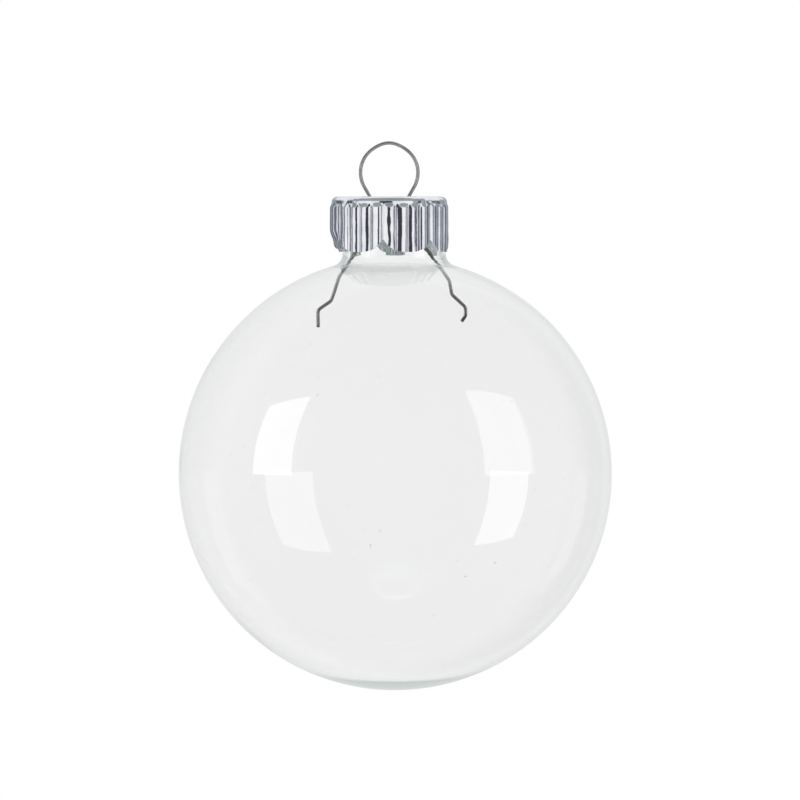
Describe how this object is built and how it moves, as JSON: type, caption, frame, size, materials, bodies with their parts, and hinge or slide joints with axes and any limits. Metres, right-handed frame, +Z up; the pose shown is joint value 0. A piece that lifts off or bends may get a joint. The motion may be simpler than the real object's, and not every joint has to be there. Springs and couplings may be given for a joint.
{
  "type": "glass ball ornament",
  "caption": "Clear hollow glass ball with a fluted metal crown cap and a sprung wire hanging loop.",
  "frame": {"origin": "inner top of the wire loop, where a hook bears", "axes": "+Z up along the line of hang, +Y through the loop's eye, +X along the row of the cap's two wire holes"},
  "size_m": [0.08, 0.08, 0.1011],
  "materials": {
    "glass": "clear blown glass",
    "cap": "thin bright metal sheet, crimped",
    "wire": "bright spring wire"
  },
  "bodies": {
    "hanger": {"hanger_loop": "wire"},
    "leg_left": {"hanger_leg_left": "wire"},
    "leg_right": {"hanger_leg_right": "wire"},
    "cap": {"crown_cap": "cap"},
    "ball": {"glass_ball": "glass"}
  },
  "joints": [
    {"name": "cap_rock", "type": "hinge", "parent": "hanger", "child": "cap", "pos_m": [0, 0, -0.00955], "axis": [1, 0, 0], "range_deg": [-4, 4]},
    {"name": "ball_pull", "type": "slide", "parent": "cap", "child": "ball", "axis": [0, 0, -1], "range_m": [0, 0.011]},
    {"name": "leg_left_flex", "type": "hinge", "parent": "hanger", "child": "leg_left", "pos_m": [0.00349, 0, -0.00955], "axis": [0.1088, -0.9941, 0], "range_deg": [0, 18]},
    {"name": "leg_right_flex", "type": "hinge", "parent": "hanger", "child": "leg_right", "pos_m": [-0.00349, 0, -0.00955], "axis": [-0.1088, 0.9941, 0], "range_deg": [0, 18]}
  ],
  "couplings": [
    {"joint": "leg_left_flex", "follows": "ball_pull", "rad_per_m": 27.925},
    {"joint": "leg_right_flex", "follows": "ball_pull", "rad_per_m": 27.925}
  ]
}
